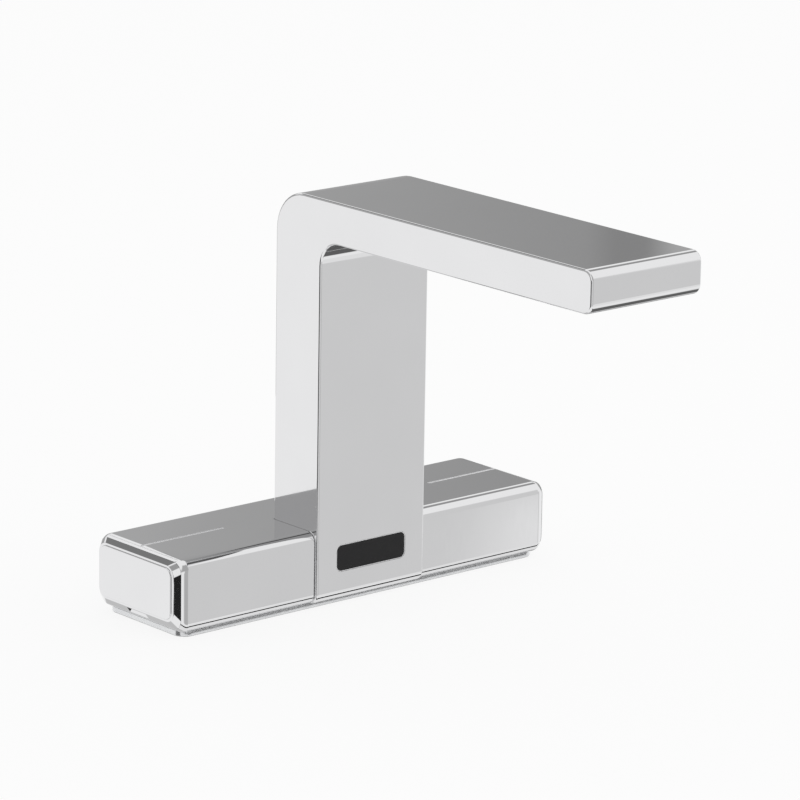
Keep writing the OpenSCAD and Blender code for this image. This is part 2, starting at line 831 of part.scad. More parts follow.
module cartridge_nut() {
    color("goldenrod") difference() {
        x_ring(shell_x1 + seat, cup_x1, cartridge_d, spindle_d + 2 * seat, half_y, bar_zc);
        for (z = [-1, 1])
            x_rod(cup_x1 - nut_l / 2, cup_x1 + over, contact_d / 2, half_y,
                bar_zc + z * cartridge_d / 3);
    }
}

// The solenoid valve: a plunger in a closed steel tube, its spring in the plunger's
// bore, and the coil that a nut holds on the tube.
guide_in_d = plunger_d + 2 * run_gap;
guide_wall = 0.5;
guide_out_d = guide_in_d + 2 * guide_wall;
guide_end = 1;
coil_x0 = lobe_x1 + seat;
coil_x1 = cup_x1 - 2 * nut_l;
guide_x1 = coil_x1 + seat + 2 * nut_l;
plunger_x0 = lobe_x1 + 2 * seat;
plunger_x1 = coil_x1 - nut_l;
spring_wall = 0.5;
spring_d = plunger_d - 2.5 * guide_end;
spring_room = (plunger_x1 - plunger_x0) / 2;

module plunger_tube() {
    color("lightgray") difference() {
        union() {
            x_rod(valve_x + seat, lobe_x1, flange_d, -half_y, bar_zc);
            x_rod(valve_x + seat, guide_x1, guide_out_d, -half_y, bar_zc);
        }
        x_rod(valve_x - over, guide_x1 - guide_end, guide_in_d, -half_y, bar_zc);
    }
}

module solenoid_coil() {
    color("black") x_ring(coil_x0, coil_x1, coil_d, guide_out_d + 2 * seat, -half_y, bar_zc);
}

module coil_nut() {
    color("silver") difference() {
        translate([coil_x1 + seat, -half_y, bar_zc]) rotate([0, 90, 0])
            cylinder(d = 0.8 * coil_d, h = nut_l, $fn = 6);
        x_rod(coil_x1 - over, guide_x1, guide_out_d + 2 * run_gap, -half_y, bar_zc);
    }
}

module plunger() {
    color("lightgray") difference() {
        x_rod(plunger_x0, plunger_x1, plunger_d, -half_y, bar_zc);
        x_rod(plunger_x1 - spring_room, plunger_x1 + over, spring_d + 2 * seat, -half_y, bar_zc);
    }
}

module plunger_seal() {
    color("dimgray") x_rod(valve_x + seat, plunger_x0, plunger_d - 2 * seat, -half_y, bar_zc);
}

module plunger_spring() {
    color("silver") x_ring(plunger_x1 - spring_room + plunger_lift + slip,
        guide_x1 - guide_end - seat, spring_d - 2 * seat, spring_d - 2 * spring_wall - 2 * seat,
        -half_y, bar_zc);
}

// The water tube: out of the manifold, up the upright and along the spout
tube_top_bend = 12;
tube_top_z = spout_top - spout_t / 2;
socket_wall = 2.5;
socket_gap = 1.8;
socket_d = aerator_d + 2 * socket_wall;
outlet_y = tip_y + spout_wall + socket_gap + socket_d / 2;
socket_l = 22;
socket_y1 = outlet_y + socket_l;
tube_end_y = socket_y1 - tube_in;

// The tube's course, d thick, with both ends longer by run
module tube_course(d, run) {
    y_rod(tube_y + tube_bend, manifold_y0 + tube_in - seat + run, d, 0, tube_z);
    z_rod(tube_z + tube_bend, tube_top_z - tube_top_bend, d, 0, tube_y);
    y_rod(tube_end_y + seat - run, tube_y - tube_top_bend, d, 0, tube_top_z);
    rotate([90, 0, 90]) {
        translate([tube_y + tube_bend, tube_z + tube_bend]) rotate([0, 0, 180])
            rotate_extrude(angle = 90) translate([tube_bend, 0]) circle(d = d);
        translate([tube_y - tube_top_bend, tube_top_z - tube_top_bend])
            rotate_extrude(angle = 90) translate([tube_top_bend, 0]) circle(d = d);
    }
}

module water_tube() {
    color("peru") difference() {
        tube_course(tube_d, 0);
        tube_course(tube_d - 2 * tube_wall, over);
    }
}

module tube_seals() {
    color("dimgray") {
        translate([0, manifold_y0 + ring_room / 2, tube_z]) rotate([90, 0, 0])
            seal_ring(tube_d + ring_room, ring_cord);
        translate([0, socket_y1 - ring_room / 2, tube_top_z]) rotate([90, 0, 0])
            seal_ring(tube_d + ring_room, ring_cord);
    }
}

// The outlet: a brass socket in the spout's tip, and an aerator flush with the
// underside.
socket_roof = 1;
room_h = 1.5;
socket_z0 = under_z + spout_wall;
socket_z1 = spout_top - spout_wall - seat;
room_z0 = socket_z1 - socket_roof - room_h;
housing_top = room_z0 - ring_room - seat;
neck_w = tube_d + 4 * socket_wall;
insert_wall = 2;
insert_d = aerator_d - 2 * insert_wall;
insert_in = 0.4;
jet_d = 1.3;
jet_rings = 3;

module aerator_socket() {
    color("darkgoldenrod") difference() {
        union() {
            z_rod(socket_z0, socket_z1, socket_d, 0, outlet_y);
            block([-neck_w / 2, outlet_y, socket_z0], [neck_w / 2, socket_y1, socket_z1]);
        }
        z_rod(socket_z0 - over, room_z0, aerator_d + 2 * run_gap, 0, outlet_y);
        z_rod(room_z0 - over, room_z0 + room_h, aerator_d - 4 * ring_cord, 0, outlet_y);
        block([-tube_d / 4, outlet_y, room_z0], [tube_d / 4, tube_end_y, room_z0 + room_h]);
        y_rod(outlet_y + socket_d / 2, tube_end_y + over, tube_d - 2 * tube_wall, 0, tube_top_z);
        y_rod(tube_end_y, socket_y1 + over, tube_d + 2 * run_gap, 0, tube_top_z);
        y_rod(socket_y1 - ring_room, socket_y1 + over, ring_mouth_d, 0, tube_top_z);
    }
}

module aerator_housing() {
    color("silver") z_ring(under_z + seat, housing_top, aerator_d, insert_d, 0, outlet_y);
}

module aerator_insert() {
    color("lightgray") translate([0, outlet_y, 0]) difference() {
        z_rod(under_z + insert_in, housing_top, insert_d - 2 * run_gap, 0, 0);
        z_rod(under_z, housing_top + over, jet_d, 0, 0);
        for (ring = [1:jet_rings], k = [1:6 * ring]) rotate([0, 0, k * 60 / ring])
            z_rod(under_z, housing_top + over, jet_d, ring * insert_d / 2 / (jet_rings + 1), 0);
    }
}

module aerator_seal() {
    color("dimgray") translate([0, outlet_y, housing_top + ring_room / 2])
        seal_ring(aerator_d - ring_cord - 2 * seat, ring_cord);
}

bar_body();
spout_body();
base_plate();
deck_gasket();
base_screws();
foot_block();
foot_screws();
left_end_cap();
battery_tray();
tray_seal();
battery_pack();
drawer_screws();
contact_block();
battery_contacts();
control_unit();
right_end_cap();
right_cap_plug();
right_cap_seal();
right_cap_screws();
sensor_window();
window_rim();
sensor_housing();
ir_emitter();
ir_receiver();
sensor_board();
sensor_screws();
water_manifold();
valve_body();
inlet_strainers();
check_valve_seats();
check_springs();
hot_check_poppet();
cold_check_poppet();
mixing_cartridge();
fixed_disc();
moving_disc();
temperature_spindle();
cartridge_nut();
spindle_seal();
solenoid_coil();
plunger_tube();
plunger();
plunger_seal();
plunger_spring();
coil_nut();
water_tube();
tube_seals();
aerator_socket();
aerator_housing();
aerator_insert();
aerator_seal();
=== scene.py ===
"""The looks of a deck-mounted sensor tap, in the order in which it is put together."""

import math

import bmesh
import bpy
from mathutils import Matrix, Vector


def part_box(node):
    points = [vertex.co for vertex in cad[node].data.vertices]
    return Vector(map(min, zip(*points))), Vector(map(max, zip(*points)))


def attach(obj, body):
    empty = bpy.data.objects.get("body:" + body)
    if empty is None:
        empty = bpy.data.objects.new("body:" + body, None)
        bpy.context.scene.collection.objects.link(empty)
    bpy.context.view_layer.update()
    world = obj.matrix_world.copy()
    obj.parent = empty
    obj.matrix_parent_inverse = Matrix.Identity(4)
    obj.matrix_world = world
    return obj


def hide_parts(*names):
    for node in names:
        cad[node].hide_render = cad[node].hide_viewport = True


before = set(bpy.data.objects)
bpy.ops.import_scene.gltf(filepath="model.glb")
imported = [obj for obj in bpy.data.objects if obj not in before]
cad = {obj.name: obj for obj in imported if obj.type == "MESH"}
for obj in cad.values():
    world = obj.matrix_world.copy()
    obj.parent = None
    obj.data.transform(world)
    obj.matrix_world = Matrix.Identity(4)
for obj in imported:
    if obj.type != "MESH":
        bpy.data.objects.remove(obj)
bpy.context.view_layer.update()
MM = 0.001


# Spout and upright. One hollow brass casting in the shape of a flat L, ground to crisp flat
# faces, with its side edges just broken, then polished and chrome plated.
SPOUT_WALL = 2.5 * MM
SIDE_EDGE = 0.8 * MM
ELBOW = 15 * MM
ELBOW_INSIDE = 9 * MM
TIP_EDGE = 4 * MM
FOOT_EDGE = 4 * MM
UPRIGHT_DEPTH = 24.7 * MM
SPOUT_THICK = 15.2 * MM
ARC_STEPS = 10


def linear(hex_colour):
    """An sRGB hex colour as the linear values that a shader takes."""
    parts = [int(hex_colour[i : i + 2], 16) / 255 for i in (0, 2, 4)]
    return [c / 12.92 if c <= 0.04045 else ((c + 0.055) / 1.055) ** 2.4 for c in parts] + [1]


def add_node(tree, kind, links=None, **settings):
    """Adds one shader node, with its settings, its values and what is linked into it."""
    node = tree.nodes.new(kind)
    for name, value in settings.items():
        setattr(node, name, value)
    for socket, value in (links or {}).items():
        if isinstance(value, bpy.types.NodeSocket):
            tree.links.new(value, node.inputs[socket])
        else:
            node.inputs[socket].default_value = value
    return node


def start_material(name, **sockets):
    """A material whose plain values sit on its shader's own sockets."""
    material = bpy.data.materials.new(name)
    material.use_nodes = True
    shader = material.node_tree.nodes["Principled BSDF"]
    for socket, value in sockets.items():
        shader.inputs[socket.replace("_", " ")].default_value = value
    return material, material.node_tree, shader


def grain(tree, size, detail=2.0, stretch=(1, 1, 1)):
    """Noise in the object's own space with lumps of the given size, drawn out by stretch."""
    place = add_node(tree, "ShaderNodeTexCoord").outputs["Object"]
    drawn = add_node(tree, "ShaderNodeMapping", {"Vector": place, "Scale": stretch})
    noise = {"Vector": drawn.outputs["Vector"], "Scale": 1 / size, "Detail": detail}
    return add_node(tree, "ShaderNodeTexNoise", noise).outputs["Fac"]


# Between these two values lies nearly all of a noise
NOISE_LOW, NOISE_HIGH = 0.3, 0.7


def vary(tree, shader, socket, fac, low, high):
    """Lets a value of the shader run from low to high with fac."""
    ends = {"From Min": NOISE_LOW, "From Max": NOISE_HIGH, "To Min": low, "To Max": high}
    spread = add_node(tree, "ShaderNodeMapRange", {"Value": fac, **ends})
    tree.links.new(spread.outputs["Result"], shader.inputs[socket])


def tint(tree, shader, fac, dark, light):
    """Lets the colour run between two hex colours with fac."""
    ramp = add_node(tree, "ShaderNodeValToRGB", {"Fac": fac}).color_ramp
    for stop, place, colour in zip(ramp.elements, (NOISE_LOW, NOISE_HIGH), (dark, light)):
        stop.position = place
        stop.color = linear(colour)
    tree.links.new(tree.nodes[-1].outputs["Color"], shader.inputs["Base Color"])


def relief(tree, shader, height, depth):
    """Lets the surface rise with height, depth being the real height in metres."""
    bump = add_node(tree, "ShaderNodeBump", {"Height": height, "Distance": depth})
    tree.links.new(bump.outputs["Normal"], shader.inputs["Normal"])


def rounded_loop(width, height, radius):
    """Points of a rounded rectangle round the middle, against the clock."""
    points = []
    for quarter, (across, up) in enumerate([(1, 1), (-1, 1), (-1, -1), (1, -1)]):
        for step in range(ARC_STEPS + 1):
            angle = math.radians(90 * (quarter + step / ARC_STEPS))
            points.append(
                (
                    across * (width / 2 - radius) + radius * math.cos(angle),
                    up * (height / 2 - radius) + radius * math.sin(angle),
                )
            )
    return points


def skin(rings, joined=False):
    """A closed mesh over rings of like points; joined makes a wall that closes on itself."""
    work = bmesh.new()
    made = [[work.verts.new(point) for point in ring] for ring in rings]
    pairs = list(zip(made, made[1:])) + ([(made[-1], made[0])] if joined else [])
    count = len(rings[0])
    for low, high in pairs:
        for i in range(count):
            work.faces.new((low[i], low[(i + 1) % count], high[(i + 1) % count], high[i]))
    if not joined:
        work.faces.new(reversed(made[0]))
        work.faces.new(made[-1])
    bmesh.ops.recalc_face_normals(work, faces=work.faces)
    return work


def stand(work, name):
    """Turns finished mesh work into an object in the scene."""
    mesh = bpy.data.meshes.new(name)
    work.to_mesh(mesh)
    work.free()
    piece = bpy.data.objects.new(name, mesh)
    bpy.context.scene.collection.objects.link(piece)
    return piece


def block(low, high):
    """A cutter in the form of a box between two corners."""
    work = bmesh.new()
    bmesh.ops.create_cube(work, size=1)
    low, high = Vector(low), Vector(high)
    size = Matrix.Diagonal((*(high - low), 1))
    bmesh.ops.transform(work, matrix=Matrix.Translation((high + low) / 2) @ size, verts=work.verts)
    return work


def rod(start, end, radius, end_radius=None):
    """A round cutter from start to end; another end radius makes it a cone."""
    work = bmesh.new()
    way = Vector(end) - Vector(start)
    last = radius if end_radius is None else end_radius
    bmesh.ops.create_cone(
        work, cap_ends=True, segments=64, radius1=radius, radius2=last, depth=way.length
    )
    turn = Vector((0, 0, 1)).rotation_difference(way).to_matrix().to_4x4()
    middle = Matrix.Translation((Vector(start) + Vector(end)) / 2)
    bmesh.ops.transform(work, matrix=middle @ turn, verts=work.verts)
    return work


def cut(piece, cutters):
    """Cuts each cutter out of the piece and throws the cutter away."""
    for cutter in cutters:
        knife = stand(cutter, "knife")
        change = piece.modifiers.new("cut", "BOOLEAN")
        change.operation = "DIFFERENCE"
        change.solver = "EXACT"
        change.object = knife
        bpy.context.view_layer.update()
        result = piece.evaluated_get(bpy.context.evaluated_depsgraph_get())
        piece.data = bpy.data.meshes.new_from_object(result)
        piece.modifiers.clear()
        bpy.data.objects.remove(knife)


# Faces that meet at less than this angle are one smooth surface
SHARP = math.radians(35)
WELD = 0.001 * MM


def finish_piece(piece, material, body, node):
    """Smooth fillets between flat faces, the material, and what the piece is in the frame."""
    work = bmesh.new()
    work.from_mesh(piece.data)
    bmesh.ops.remove_doubles(work, verts=work.verts, dist=WELD)
    for face in work.faces:
        face.smooth = True
    for edge in work.edges:
        edge.smooth = edge.calc_face_angle(0) < SHARP
    work.to_mesh(piece.data)
    work.free()
    flat = piece.modifiers.new("flat faces", "WEIGHTED_NORMAL")
    flat.keep_sharp = True
    flat.weight = 90
    if not piece.data.materials:
        piece.data.materials.append(material)
    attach(piece, body)
    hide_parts(node)


spout_low, spout_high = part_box("spout_body")
FRONT_Y = spout_high.y - UPRIGHT_DEPTH
UNDER_Z = spout_high.z - SPOUT_THICK


def arc(y, z, radius, first, last):
    """Points on an arc in the side view, from the first angle to the last."""
    angles = [math.radians(first + (last - first) * i / ARC_STEPS) for i in range(ARC_STEPS + 1)]
    return [(y + radius * math.cos(a), z + radius * math.sin(a)) for a in angles]


def side_view(inset, floor_z=None):
    """The L in Y and Z, drawn in by inset; floor_z moves its lower end."""
    bottom = spout_low.z + inset if floor_z is None else floor_z
    top, back, tip = spout_high.z - inset, spout_high.y - inset, spout_low.y + inset
    front, under = FRONT_Y + inset, UNDER_Z + inset
    foot = max(FOOT_EDGE - inset, SIDE_EDGE)
    nose = max(TIP_EDGE - inset, SIDE_EDGE)
    elbow, inner = ELBOW - inset, ELBOW_INSIDE + inset
    return (
        arc(front + foot, bottom + foot, foot, 180, 270)
        + [(back, bottom)]
        + arc(back - elbow, top - elbow, elbow, 0, 90)
        + arc(tip + nose, top - nose, nose, 90, 180)
        + arc(tip + nose, under + nose, nose, 180, 270)
        + arc(front - inner, under - inner, inner, 90, 0)
    )


def side_ring(x, inset, floor_z=None):
    """The L standing at x."""
    return [(x, y, z) for y, z in side_view(inset, floor_z)]


def round_edge(radius, steps):
    """Pairs round an edge, from the flat end inwards: how far in, and how far along."""
    angles = [math.radians(90 * i / steps) for i in range(steps + 1)]
    return [(radius * (1 - math.sin(a)), radius * (1 - math.cos(a))) for a in angles]


half_rings = [side_ring(spout_low.x + along, inset) for inset, along in round_edge(SIDE_EDGE, 6)]
other_half = [[(-x, y, z) for x, y, z in ring] for ring in reversed(half_rings)]
spout = stand(skin(half_rings + other_half), "spout_casting")

# The hollow, the foot's mouth, the openings for window, tube, aerator and foot screws
PLAY = 0.1 * MM
OVER = 1 * MM
block_low, block_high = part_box("foot_block")
rim_low, rim_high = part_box("window_rim")
RIM_PLAY = 0.05 * MM
TUBE_HOLE = 4.5 * MM
FOOT_ROOF = 1 * MM
screw_low, screw_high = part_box("foot_screws")
aerator_low, aerator_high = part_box("aerator_housing")
foot_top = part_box("sensor_housing")[0].z - FOOT_ROOF
hollow_x = spout_high.x - SPOUT_WALL
hollow = skin([side_ring(x, SPOUT_WALL, foot_top) for x in (-hollow_x, hollow_x)])
mouth = block(
    (block_low.x - PLAY, block_low.y - PLAY, spout_low.z - OVER),
    (block_high.x + PLAY, block_high.y + PLAY, foot_top + OVER),
)


def plate(width, height, radius, middle_z, y0, y1):
    """A rounded plate that faces the front, between two depths."""
    loop = rounded_loop(width, height, radius)
    return skin([[(x, y, middle_z + z) for x, z in loop] for y in (y0, y1)])


RIM_RADIUS = 2.35 * MM
rim_size = rim_high - rim_low
window_z = (rim_low.z + rim_high.z) / 2
opening = plate(
    rim_size.x + 2 * RIM_PLAY,
    rim_size.z + 2 * RIM_PLAY,
    RIM_RADIUS + RIM_PLAY,
    window_z,
    FRONT_Y - OVER,
    rim_high.y + OVER,
)
outlet = (aerator_low + aerator_high) / 2
aerator_hole = rod(
    (0, outlet.y, UNDER_Z - OVER),
    (0, outlet.y, UNDER_Z + SPOUT_WALL + OVER),
    (aerator_high.x - aerator_low.x) / 2 + PLAY,
)
SCREW_HEAD = 2.7 * MM
SCREW_SHANK = 1.5 * MM
HEAD_DEEP = 1.4 * MM
back_wall = spout_high.y - SPOUT_WALL
screw_x = screw_high.x - SCREW_HEAD
screw_z = (screw_low.z + screw_high.z) / 2
screw_holes = []
for x in (-screw_x, screw_x):
    for start, radius in ((back_wall - OVER, SCREW_SHANK), (spout_high.y - HEAD_DEEP, SCREW_HEAD)):
        ends = (x, start - PLAY, screw_z), (x, spout_high.y + OVER, screw_z)
        screw_holes.append(rod(*ends, radius + PLAY))
bar_low, bar_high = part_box("bar_body")
bar_z = (bar_low.z + bar_high.z) / 2
tube_hole = rod((0, back_wall - OVER, bar_z), (0, spout_high.y + OVER, bar_z), TUBE_HOLE)
cut(spout, [hollow, mouth, opening, tube_hole, aerator_hole] + screw_holes)

# Polished chrome on brass: a cool mirror. Polishing leaves hair-fine scratches, which only
# show as the slightest change of gloss, and long low waves that bend a reflection a little.
chrome, tree, shader = start_material("polished_chrome_plating", Metallic=1, Roughness=0.04)
tint(tree, shader, grain(tree, 30 * MM), "E6E6E7", "E8E8E9")
vary(tree, shader, "Roughness", grain(tree, 1.5 * MM, 4, (1, 1, 0.2)), 0.03, 0.06)
relief(tree, shader, grain(tree, 18 * MM, 0), 0.004 * MM)
finish_piece(spout, chrome, "tap", "spout_body")


# Outlet socket. A brass casting in the spout's tip that the aerator screws into; its outside
# stays as it comes from the mould, a dull yellow with a fine sandy skin.
def dress(material, *names):
    """Gives CAD nodes a material."""
    for name in names:
        cad[name].data.materials.clear()
        cad[name].data.materials.append(material)


cast_brass, tree, shader = start_material("cast_brass", Metallic=0.9, Roughness=0.45)
tint(tree, shader, grain(tree, 6 * MM, 3), "C2A268", "D9BC80")
vary(tree, shader, "Roughness", grain(tree, 1 * MM), 0.35, 0.6)
relief(tree, shader, grain(tree, 0.3 * MM, 3), 0.03 * MM)
dress(cast_brass, "aerator_socket", "water_manifold", "valve_body")


# Water tube. A drawn polyethylene pipe, milky and waxy, that runs up the upright and along
# the spout; a rubber ring seals each end.
waxy_tube, tree, shader = start_material(
    "polyethylene_tube", Roughness=0.35, Subsurface_Weight=0.15, Subsurface_Scale=1 * MM
)
tint(tree, shader, grain(tree, 8 * MM), "E4E1D6", "EDEAE0")
vary(tree, shader, "Roughness", grain(tree, 0.8 * MM, 2, (1, 0.1, 0.1)), 0.3, 0.45)
relief(tree, shader, grain(tree, 0.5 * MM, 2, (1, 0.1, 0.1)), 0.01 * MM)
dress(waxy_tube, "water_tube")

# Nitrile rubber, moulded: near black, with a dull bloom and a fine matt skin.
rubber, tree, shader = start_material("nitrile_rubber", Roughness=0.6)
tint(tree, shader, grain(tree, 3 * MM), "17181A", "252628")
vary(tree, shader, "Roughness", grain(tree, 0.8 * MM), 0.5, 0.75)
relief(tree, shader, grain(tree, 0.2 * MM), 0.015 * MM)
dress(rubber, "tube_seals", "aerator_seal", "deck_gasket", "tray_seal", "right_cap_seal")
dress(rubber, "spindle_seal", "plunger_seal")


# Aerator. A turned and chrome plated ring with a moulded insert of grey acetal, whose small
# bores part the water into jets; the plastic is matt and slightly speckled.
turned_chrome, tree, shader = start_material("turned_chrome_plating", Metallic=1, Roughness=0.08)
tint(tree, shader, grain(tree, 10 * MM), "E4E5E6", "E7E8EA")
vary(tree, shader, "Roughness", grain(tree, 0.3 * MM, 2, (0.15, 0.15, 1)), 0.06, 0.14)
dress(turned_chrome, "aerator_housing")

acetal, tree, shader = start_material("grey_acetal", Roughness=0.42)
tint(tree, shader, grain(tree, 0.6 * MM), "B0B3B5", "BABCBE")
vary(tree, shader, "Roughness", grain(tree, 0.3 * MM), 0.36, 0.5)
relief(tree, shader, grain(tree, 0.15 * MM), 0.006 * MM)
dress(acetal, "aerator_insert")


# Sensor window. A dark polycarbonate lens that only lets infrared through, moulded with a
# flange behind the wall, and round it a thin bright rim.
WINDOW_EDGE = 0.15 * MM
window_low, window_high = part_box("sensor_window")
flange = window_high - window_low
FLANGE_Y = FRONT_Y + SPOUT_WALL + PLAY
WINDOW_WIDE, WINDOW_HIGH, WINDOW_RADIUS = 31.5 * MM, 9.3 * MM, 2 * MM


def front_ring(width, height, radius, y):
    """A rounded outline round the window's middle, at depth y."""
    return [(x, y, window_z + z) for x, z in rounded_loop(width, height, radius)]


def window_ring(inset, y):
    """The window's outline, drawn in by inset, at depth y."""
    width, height = WINDOW_WIDE - 2 * inset, WINDOW_HIGH - 2 * inset
    return front_ring(width, height, WINDOW_RADIUS - inset, y)


window_rings = [
    window_ring(inset, window_low.y + along) for inset, along in round_edge(WINDOW_EDGE, 3)
]
window_rings.append(window_ring(0, FLANGE_Y))
window_rings.append(front_ring(flange.x, flange.z, WINDOW_RADIUS, FLANGE_Y))
window_rings.append(front_ring(flange.x, flange.z, WINDOW_RADIUS, window_high.y))
window = stand(skin(window_rings), "sensor_lens")
lens, tree, shader = start_material(
    "infrared_polycarbonate", Roughness=0.09, IOR=1.58, Specular_IOR_Level=0.2
)
tint(tree, shader, grain(tree, 5 * MM), "1A1A1B", "1E1D1E")
vary(tree, shader, "Roughness", grain(tree, 2 * MM, 3), 0.06, 0.14)
finish_piece(window, lens, "tap", "sensor_window")

RIM_EDGE = 0.15 * MM
# A fine edge has three rings: the middle one stands in by this share of the edge
EDGE_BOW = 0.3


def rim_ring(outside, inset, y):
    """The rim's outer or inner outline, drawn into its metal by inset, at depth y."""
    size = rim_size if outside else Vector((WINDOW_WIDE + PLAY, 0, WINDOW_HIGH + PLAY))
    radius = RIM_RADIUS if outside else WINDOW_RADIUS + RIM_PLAY
    step = -inset if outside else inset
    return front_ring(size.x + 2 * step, size.z + 2 * step, radius + step, y)


bow = RIM_EDGE * EDGE_BOW
rim_steps = [(0, rim_high.y), (0, rim_low.y + RIM_EDGE), (bow, rim_low.y + bow)]
rim_steps.append((RIM_EDGE, rim_low.y))
rim_rings = [rim_ring(True, *step) for step in rim_steps]
rim_rings += [rim_ring(False, *step) for step in reversed(rim_steps)]
rim = stand(skin(rim_rings, joined=True), "window_bezel")
# The rim is plated with matt nickel under clear lacquer: a soft white line round the lens.
bezel, tree, shader = start_material("satin_nickel_rim", Metallic=0.6, Roughness=0.35)
tint(tree, shader, grain(tree, 2 * MM), "EDEDEE", "F3F3F4")
vary(tree, shader, "Roughness", grain(tree, 0.4 * MM), 0.3, 0.42)
finish_piece(rim, bezel, "tap", "window_rim")


# Sensor behind the window. A housing of black ABS holds a clear sending diode and a dark
# receiving one; two screws hold the board behind them.
black_abs, tree, shader = start_material("moulded_black_abs", Roughness=0.45)
tint(tree, shader, grain(tree, 4 * MM), "1B1B1D", "242426")
vary(tree, shader, "Roughness", grain(tree, 0.5 * MM), 0.4, 0.58)
relief(tree, shader, grain(tree, 0.18 * MM, 3), 0.02 * MM)
dress(black_abs, "sensor_housing", "battery_tray", "contact_block", "right_cap_plug")

clear_epoxy, tree, shader = start_material(
    "clear_epoxy", Roughness=0.06, Transmission_Weight=0.5, IOR=1.52
)
tint(tree, shader, grain(tree, 2 * MM), "D6DCF0", "E4E8F6")
vary(tree, shader, "Roughness", grain(tree, 0.8 * MM), 0.04, 0.1)
dress(clear_epoxy, "ir_emitter")

dark_epoxy, tree, shader = start_material("filtering_epoxy", Roughness=0.08, IOR=1.52)
tint(tree, shader, grain(tree, 2 * MM), "1E1426", "2A1C34")
vary(tree, shader, "Roughness", grain(tree, 0.8 * MM), 0.05, 0.12)
dress(dark_epoxy, "ir_receiver")

# Glass-fibre board under green mask: its copper tracks stand up as paler, wider lines, here
# 1 mm apart and so a little coarser than real ones, for them to show.
TRACK_STEP = 1 * MM
TRACK_GAP = 0.12 * TRACK_STEP
board, tree, shader = start_material("green_circuit_board", Roughness=0.35)
place = add_node(tree, "ShaderNodeTexCoord").outputs["Object"]
upright = {"Vector": place, "Rotation": (math.radians(90), 0, 0)}
tracks = add_node(
    tree,
    "ShaderNodeTexBrick",
    {
        "Vector": add_node(tree, "ShaderNodeMapping", upright).outputs["Vector"],
        "Color1": linear("0F4A2A"),
        "Color2": linear("135433"),
        "Mortar": linear("2C8150"),
        "Scale": 1,
        "Mortar Size": TRACK_GAP,
        "Brick Width": TRACK_STEP * 4,
        "Row Height": TRACK_STEP,
    },
)
tree.links.new(tracks.outputs["Color"], shader.inputs["Base Color"])
relief(tree, shader, tracks.outputs["Fac"], 0.03 * MM)
dress(board, "sensor_board")

# Stainless screws, springs and strainers: turned or drawn, greyish, with fine rings.
stainless, tree, shader = start_material("turned_stainless", Metallic=1, Roughness=0.28)
tint(tree, shader, grain(tree, 3 * MM), "C2C3C4", "CFD0D0")
vary(tree, shader, "Roughness", grain(tree, 0.25 * MM, 2), 0.2, 0.38)
relief(tree, shader, grain(tree, 0.2 * MM), 0.006 * MM)
dress(stainless, "sensor_screws", "foot_screws", "base_screws", "drawer_screws")
dress(stainless, "right_cap_screws", "inlet_strainers", "check_springs", "plunger_spring")
dress(stainless, "coil_nut", "plunger_tube", "plunger")


# Foot block. A piece of drawn brass bar in the foot's mouth, drilled and tapped for the two
# deck studs; sawn and drilled faces stay bright with fine straight marks.
brass_bar, tree, shader = start_material("machined_brass", Metallic=1, Roughness=0.25)
tint(tree, shader, grain(tree, 5 * MM), "D3B36B", "E0C37F")
vary(tree, shader, "Roughness", grain(tree, 0.3 * MM, 2, (0.1, 1, 1)), 0.18, 0.36)
relief(tree, shader, grain(tree, 0.25 * MM, 2, (0.1, 1, 1)), 0.008 * MM)
dress(brass_bar, "foot_block", "temperature_spindle", "cartridge_nut")


# Bar. A drawn brass tube of rounded section, notched for the upright, its ends rounded over
# to the caps and each half of its top engraved with one fine line; plated as the spout is.
BAR_CORNER = 4 * MM
BAR_WALL = 2.4 * MM
BAR_END = 2.9 * MM
END_SIDE, END_TOP, END_LOW = 0.95 * MM, 0.75 * MM, 1.35 * MM
END_STEPS = 6
BAY_CORNER = 1.6 * MM
LINE_WIDE, LINE_DEEP, LINE_BACK, LINE_IN = 1.4 * MM, 0.25 * MM, 1.5 * MM, 1.3 * MM
LEFT_LINE, RIGHT_LINE = 36.8 * MM, 33.2 * MM
bar_size = bar_high - bar_low


def section(x, low, high, side, top, bottom, radius):
    """A rounded outline at x between two corners, drawn in at the sides, top and bottom."""
    z0, z1 = low.z + bottom, high.z - top
    loop = rounded_loop(high.y - low.y - 2 * side, z1 - z0, radius)
    return [(x, y, (z0 + z1) / 2 + z) for y, z in loop]


def end_ring(share):
    """Where the bar's end has turned in; the last share of its length turns in most."""
    side, top, bottom = (share**2 * size for size in (END_SIDE, END_TOP, END_LOW))
    x = bar_low.x + BAR_END * (1 - share)
    return section(x, bar_low, bar_high, side, top, bottom, BAR_CORNER)


left_rings = [end_ring(1 - i / END_STEPS) for i in range(END_STEPS + 1)]
right_rings = [[(-x, y, z) for x, y, z in ring] for ring in reversed(left_rings)]
bay_in = (BAR_WALL, BAR_WALL, BAR_WALL, BAY_CORNER)
inner_rings = [section(x, bar_low, bar_high, *bay_in) for x in (bar_high.x, bar_low.x)]
bar = stand(skin(left_rings + right_rings + inner_rings, joined=True), "bar_tube")
notch = block(
    (spout_low.x - PLAY, FRONT_Y - OVER, bar_low.z - OVER),
    (spout_high.x + PLAY, spout_high.y + PLAY, bar_high.z + OVER),
)
lines = []
for side, long in ((-1, LEFT_LINE), (1, RIGHT_LINE)):
    ends = sorted((side * (bar_high.x - LINE_IN), side * (bar_high.x - LINE_IN - long)))
    lines.append(
        block(
            (ends[0], LINE_BACK - LINE_WIDE / 2, bar_high.z - LINE_DEEP),
            (ends[1], LINE_BACK + LINE_WIDE / 2, bar_high.z + OVER),
        )
    )
PORT_X, PORT_Y, HOSE_HOLE, BASE_SCREW_HOLE = 7.5 * MM, 8 * MM, 6.7 * MM, 1.5 * MM
base_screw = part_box("base_screws")[1]
corner_x, corner_y = base_screw.x - SCREW_HEAD, base_screw.y - SCREW_HEAD
